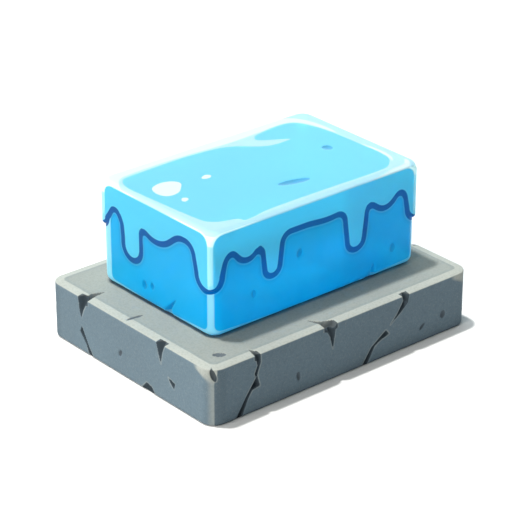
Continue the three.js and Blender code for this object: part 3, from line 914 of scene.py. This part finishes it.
def ice_material(ice):
    """Clear blue ice: paler refrozen layer, painted shade along the drips and in its hollows, a rim of
    frost and painted highlight, and painted highlights on its corners and edges.
    """
    shader = Shader(bpy.data.materials.new("ice"))
    drip_edge, over_edge, face_edge = shader.attributes("drip_edge", "over_edge", "face_edge")
    corner_near, clear_top, frost_glare = shader.attributes("corner_near", "clear_top", "frost_glare")
    hollow, notch = shader.attributes("hollow", "notch")
    sunk = hollow.smaller(notch)
    # One dark blue for all painted shade on the ice, and one pale blue for its painted highlights, its rim
    # and its milky clouds
    shade_tint, pale_tint = ice.line_tint, ice.corner_tint
    wobble = (shader.noise(90, 2) - 0.5) * 0.6
    cloud = shader.noise(7, 4, 0.55, 0.6)

    on_sides = over_edge.below(RIM_START, 1)
    shade_below = drip_edge.above(2, 2) * drip_edge.below(6, 7)
    # Painted highlight bands on the upright corners and along the bottom edge, partly frost
    in_band = face_edge.below(0, 0.7) * on_sides
    below_layer = drip_edge.above(0, 0.6)
    above_line = drip_edge.above(-6.5, 1) * (1 - below_layer)
    band_share = in_band * (1 - 0.3 * below_layer) * (1 - 0.5 * above_line) * (0.3 + 0.7 * corner_near)
    # A thin painted highlight on both sides of the drips' dark line
    halo = abs(drip_edge).above(3.2, 0.5) * abs(drip_edge).below(4.6, 1.2) * on_sides
    # The dark line along the drips' edge is painted shade
    line = abs(drip_edge).below(ice.line_width / MM / 2, 0.7)
    # The pale rim round the top is frost and painted highlight
    rim = (1 - on_sides) * (clear_top + wobble).above(0, 0.8)
    tint = shader.cover(
        ice.body_tint,
        (1 - below_layer, ice.layer_tint),
        (shade_below * 0.3, shade_tint),
        (band_share, pale_tint),
        (halo * 0.12, pale_tint),
        (line, shade_tint),
        ((1 - on_sides) * (1 - rim), ice.top),
        (rim, pale_tint),
        # Painted shade in the hollows, dents and notches
        (sunk.below(0, 0.7) * (0.42 - 0.02 * on_sides), shade_tint),
        (cloud.above(0.52, 0.4) * 0.07 * (1 - line), pale_tint))

    # Painted highlights: white at the tops of the corners, a glint along the rim's outer edge, and white
    # patches of glare laid as frost
    corner_highlight = in_band * over_edge.above(-4.5, 2) * corner_near.above(0.9, 0.1)
    glint = face_edge.above(-2.2, 0.8) * face_edge.below(0, 0.5) * over_edge.above(0, 4)
    glint = glint * (0.3 + 0.7 * corner_near.above(0.42, 0.45))
    thick = (frost_glare + wobble).below(0, 0.8) * (1 - on_sides)
    white = thick.larger(glint).larger(corner_highlight)
    waves = shader.noise(14, 3) + 0.25 * shader.noise(60, 3)
    clear = shader.node("ShaderNodeBsdfPrincipled", {}, {
        "Base Color": tint, "Roughness": 0.29 + 0.08 * cloud, "Normal": shader.bump(waves, 0.3, 0.001),
        "IOR": ICE_IOR, "Transmission Weight": 0.6, "Specular IOR Level": 0.12,
        "Specular Tint": GLOSS_TINT})[0]

    frost_tint = shader.mix(thick, ice.rim_frost_and_highlight, ice.frost)
    # Painted light low on the rim, against its own shading; there and under the painted highlights the
    # frost takes its brightest colour
    edge_light = over_edge.below(10, 8) * 0.5
    bright = (white - thick).larger(in_band).larger(edge_light)
    frost_tint = shader.mix(bright, frost_tint, ice.frost_highlight)
    crystals = shader.noise(220, 3, 0.6) + 0.5 * shader.noise(60, 2)
    frost = shader.node("ShaderNodeBsdfPrincipled", {}, {
        "Base Color": frost_tint, "Roughness": 0.45 + 0.2 * cloud,
        "Normal": shader.bump(crystals, 0.25, 0.0006), "Specular IOR Level": 0.3})[0]
    share = (rim * 0.6).larger(white * 0.92).larger(band_share * 0.3 * (1 - line))
    surface = shader.node("ShaderNodeMixShader", {}, {0: share, 1: clear, 2: frost})[0]
    volume = shader.node("ShaderNodeVolumeAbsorption", {}, {"Color": LET_THROUGH, "Density": ABSORPTION})[0]
    return shader.finish(Surface=surface, Volume=volume)


def stone_material(stone):
    """Matt grey stone: painted highlight along its top edge, pale corners and crack lips of painted
    highlight and wear, painted shade in its cracks, hollows and past its corners, and wet stone with
    painted contact shade at the foot of the ice.
    """
    shader = Shader(bpy.data.materials.new("stone"))
    crack, hollow, over_rim, ice_gap, upright = shader.attributes(
        "crack", "hollow", "over_rim", "ice_gap", "upright")
    side, pale, dark, pit = stone.side, stone.rim_tint, stone.crack, stone.pit
    mottle = shader.noise(16, 5, 0.6)
    grain = shader.noise(420, 3, 0.6)
    speckle = shader.noise(900, 1, 0.5)
    wobble = shader.noise(40, 3) - 0.5

    rim_width = stone.rim / MM
    inward = over_rim + wobble
    on_top = over_rim.above(0.3, 0.6)
    # A faint darker line just inside the pale rim
    inner_rim_line = inward.above(rim_width, 1.2) * inward.below(rim_width + 3, 2)
    # The pale rim on the top is painted highlight
    rim = on_top * inward.below(rim_width, 1.2)
    near_rim = over_rim.above(-9, 16)
    flare = near_rim * near_rim
    # A pale line down each upright corner, painted highlight and wear, with painted shade on the side just
    # past it
    turned = (upright - 3 * flare).above(1.8, 1)
    corner_wear_and_highlight = (upright + 17 * flare).above(-2.7, 8) * (1 - turned) * (1 - on_top)
    past_corner = turned * upright.below(10, 14) * (1 - on_top)
    # Pale lips along the cracks: painted highlight and wear
    worn_and_highlight = crack.above(0, 0.3) * crack.below(1.3, 1.2) * shader.noise(30, 2).above(0.45, 0.2)
    # Wet stone round the ice's foot, darker also as painted contact shade
    damp_and_shade = (ice_gap + wobble * 4).below(stone.damp_and_shade_width / MM, 5)
    # Painted shade inside the cracks, less of it where they run over the top
    in_crack = (crack + (grain - 0.5) * 0.5).below(0, 0.5)
    tint = shader.cover(
        side,
        (on_top, stone.top),
        (inner_rim_line * 0.16, side),
        (rim * 0.92, pale),
        (corner_wear_and_highlight * (0.5 + 0.4 * near_rim), pale),
        (past_corner * 0.4, dark),
        (mottle.above(0.5, 0.5) * 0.11, pit),
        (grain.above(0.55, 0.25) * 0.12, dark),
        (speckle.above(0.62, 0.1) * 0.1, pale),
        (worn_and_highlight * 0.25, pale),
        (damp_and_shade * 0.85, stone.damp_and_shade),
        # Painted shade in the hollows
        (hollow.below(0, 0.5) * 0.85, pit),
        (in_crack * (0.9 - 0.3 * over_rim.above(rim_width - 1, 4)), dark))

    rough_surface = 0.6 * mottle + 0.35 * shader.noise(140, 4, 0.65) + 0.12 * grain
    surface = shader.node("ShaderNodeBsdfPrincipled", {}, {
        "Base Color": tint, "Roughness": 0.86 - 0.5 * damp_and_shade - 0.08 * speckle,
        "Normal": shader.bump(rough_surface, 0.5, 0.0016), "Specular IOR Level": 0.35})[0]
    return shader.finish(Surface=surface)


def floor_material():
    """Plain pale floor."""
    shader = Shader(bpy.data.materials.new("floor"))
    tint = shader.mix(shader.noise(1.5, 2), *FLOOR_TINTS)
    surface = shader.node("ShaderNodeBsdfPrincipled", {}, {
        "Base Color": tint, "Roughness": 0.9, "Specular IOR Level": 0.1})[0]
    return shader.finish(Surface=surface)


def studio_world():
    """Dim light all round, and a wide soft glow low behind the block, which shines through the ice."""
    shader = Shader(bpy.data.worlds.new("studio"))
    towards = shader.node("ShaderNodeTexCoord", {}, {})[0]
    behind = shader.node(
        "ShaderNodeVectorMath", {"operation": "DOT_PRODUCT"}, {0: towards, 1: GLOW_TOWARDS})[1]
    height = shader.node("ShaderNodeSeparateXYZ", {}, {0: towards})[2]
    glow = behind.above(0.3, 1.0) * height.below(0.75, 0.5)
    strength = STUDIO_LIGHT + GLOW_LIGHT * glow
    light = shader.node("ShaderNodeBackground", {}, {"Color": STUDIO_TINT, "Strength": strength})[0]
    return shader.finish(Surface=light)


class ICEBLOCK_OT_ice(bpy.types.Operator):
    """Build the block of ice with its refrozen drips"""
    bl_idname = "iceblock.ice"
    bl_label = "Ice block"

    def execute(self, context):
        ice, _ = settings()
        surface, offset = ice_surface(ice)
        piece = surface.to_object("ice", offset)
        piece.data.materials.append(ice_material(ice))
        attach(piece, "root")
        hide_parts("ice_block")
        return {"FINISHED"}


class ICEBLOCK_OT_slab(bpy.types.Operator):
    """Build the cracked stone slab"""
    bl_idname = "iceblock.slab"
    bl_label = "Stone slab"

    def execute(self, context):
        _, stone = settings()
        surface, offset = slab_surface(stone)
        piece = surface.to_object("slab", offset)
        piece.data.materials.append(stone_material(stone))
        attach(piece, "root")
        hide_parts("stone_slab")
        return {"FINISHED"}


# The camera's place, as the photograph shows the block: degrees round and up, metres away, and its lens
CAMERA_AROUND = math.radians(-40.38)
CAMERA_UP = math.radians(25.83)
CAMERA_AWAY = 2.2554
CAMERA_LENS = 162.94
CAMERA_SENSOR = 36
PICTURE_PIXELS = 512
# Where the slab's middle at this height stands in the picture, in pixels right of and below its centre
LOOK_AT_HEIGHT = 0.0836
LOOK_AT_PIXELS = (4.37, -4.63)


def add_camera():
    across = Vector((math.cos(CAMERA_AROUND), math.sin(CAMERA_AROUND), 0))
    outward = Vector((math.sin(CAMERA_AROUND) * math.cos(CAMERA_UP),
                      -math.cos(CAMERA_AROUND) * math.cos(CAMERA_UP), math.sin(CAMERA_UP)))
    upward = outward.cross(across)
    look_at = Vector((0, 0, LOOK_AT_HEIGHT))
    place = look_at + outward * CAMERA_AWAY
    pixel = CAMERA_AWAY * CAMERA_SENSOR / CAMERA_LENS / PICTURE_PIXELS
    aim = look_at - across * LOOK_AT_PIXELS[0] * pixel + upward * LOOK_AT_PIXELS[1] * pixel
    data = bpy.data.cameras.new("camera")
    data.lens = CAMERA_LENS
    data.sensor_width = CAMERA_SENSOR
    camera = bpy.data.objects.new("camera", data)
    camera.location = place
    camera.rotation_euler = (aim - place).to_track_quat("-Z", "Y").to_euler()
    bpy.context.scene.collection.objects.link(camera)
    bpy.context.scene.camera = camera


def add_sun(name, towards, strength, spread, tint):
    """Adds even light from the direction given, softened by its angle in degrees."""
    data = bpy.data.lights.new(name, "SUN")
    data.energy = strength
    data.angle = math.radians(spread)
    data.color = tint
    light = bpy.data.objects.new(name, data)
    light.rotation_euler = Vector(towards).to_track_quat("Z", "Y").to_euler()
    bpy.context.scene.collection.objects.link(light)


class ICEBLOCK_OT_stage(bpy.types.Operator):
    """Set up the pale floor, the soft lights and the camera"""
    bl_idname = "iceblock.stage"
    bl_label = "Stage"

    def execute(self, context):
        mesh = bpy.data.meshes.new("floor")
        corners = [(x * FLOOR_REACH, y * FLOOR_REACH, 0) for x, y in ((-1, -1), (1, -1), (1, 1), (-1, 1))]
        mesh.from_pydata(corners, [], [(0, 1, 2, 3)])
        mesh.materials.append(floor_material())
        floor = bpy.data.objects.new("floor", mesh)
        context.scene.collection.objects.link(floor)

        context.scene.world = studio_world()
        add_sun("key", towards=(-0.13, 0.19, 0.97), strength=3.9, spread=4, tint=(1, 0.98, 0.95))
        add_sun("fill", towards=(-0.9, -0.1, 0.42), strength=2.95, spread=40, tint=(1, 0.96, 0.9))
        context.scene.view_settings.view_transform = "Standard"
        add_camera()
        return {"FINISHED"}


class ICEBLOCK_PT_panel(bpy.types.Panel):
    """Lists the pieces in the 3D view's sidebar"""
    bl_label = "Ice block"
    bl_idname = "ICEBLOCK_PT_panel"
    bl_space_type = "VIEW_3D"
    bl_region_type = "UI"
    bl_category = "Ice block"

    def draw(self, context):
        for group, names in (
            (context.scene.ice_block_settings, IceSettings.__annotations__),
            (context.scene.stone_slab_settings, StoneSettings.__annotations__),
        ):
            box = self.layout.box()
            for name in names:
                box.prop(group, name)
        for operator in (ICEBLOCK_OT_ice, ICEBLOCK_OT_slab, ICEBLOCK_OT_stage):
            self.layout.operator(operator.bl_idname)


CLASSES = (
    IceSettings, StoneSettings, ICEBLOCK_OT_ice, ICEBLOCK_OT_slab, ICEBLOCK_OT_stage, ICEBLOCK_PT_panel,
)


def register():
    for item in CLASSES:
        bpy.utils.register_class(item)
    bpy.types.Scene.ice_block_settings = bpy.props.PointerProperty(type=IceSettings)
    bpy.types.Scene.stone_slab_settings = bpy.props.PointerProperty(type=StoneSettings)


def unregister():
    del bpy.types.Scene.stone_slab_settings
    del bpy.types.Scene.ice_block_settings
    for item in reversed(CLASSES):
        bpy.utils.unregister_class(item)


def main():
    register()
    bpy.ops.iceblock.stage()
    bpy.ops.iceblock.slab()
    bpy.ops.iceblock.ice()


if __name__ == "__main__":
    main()
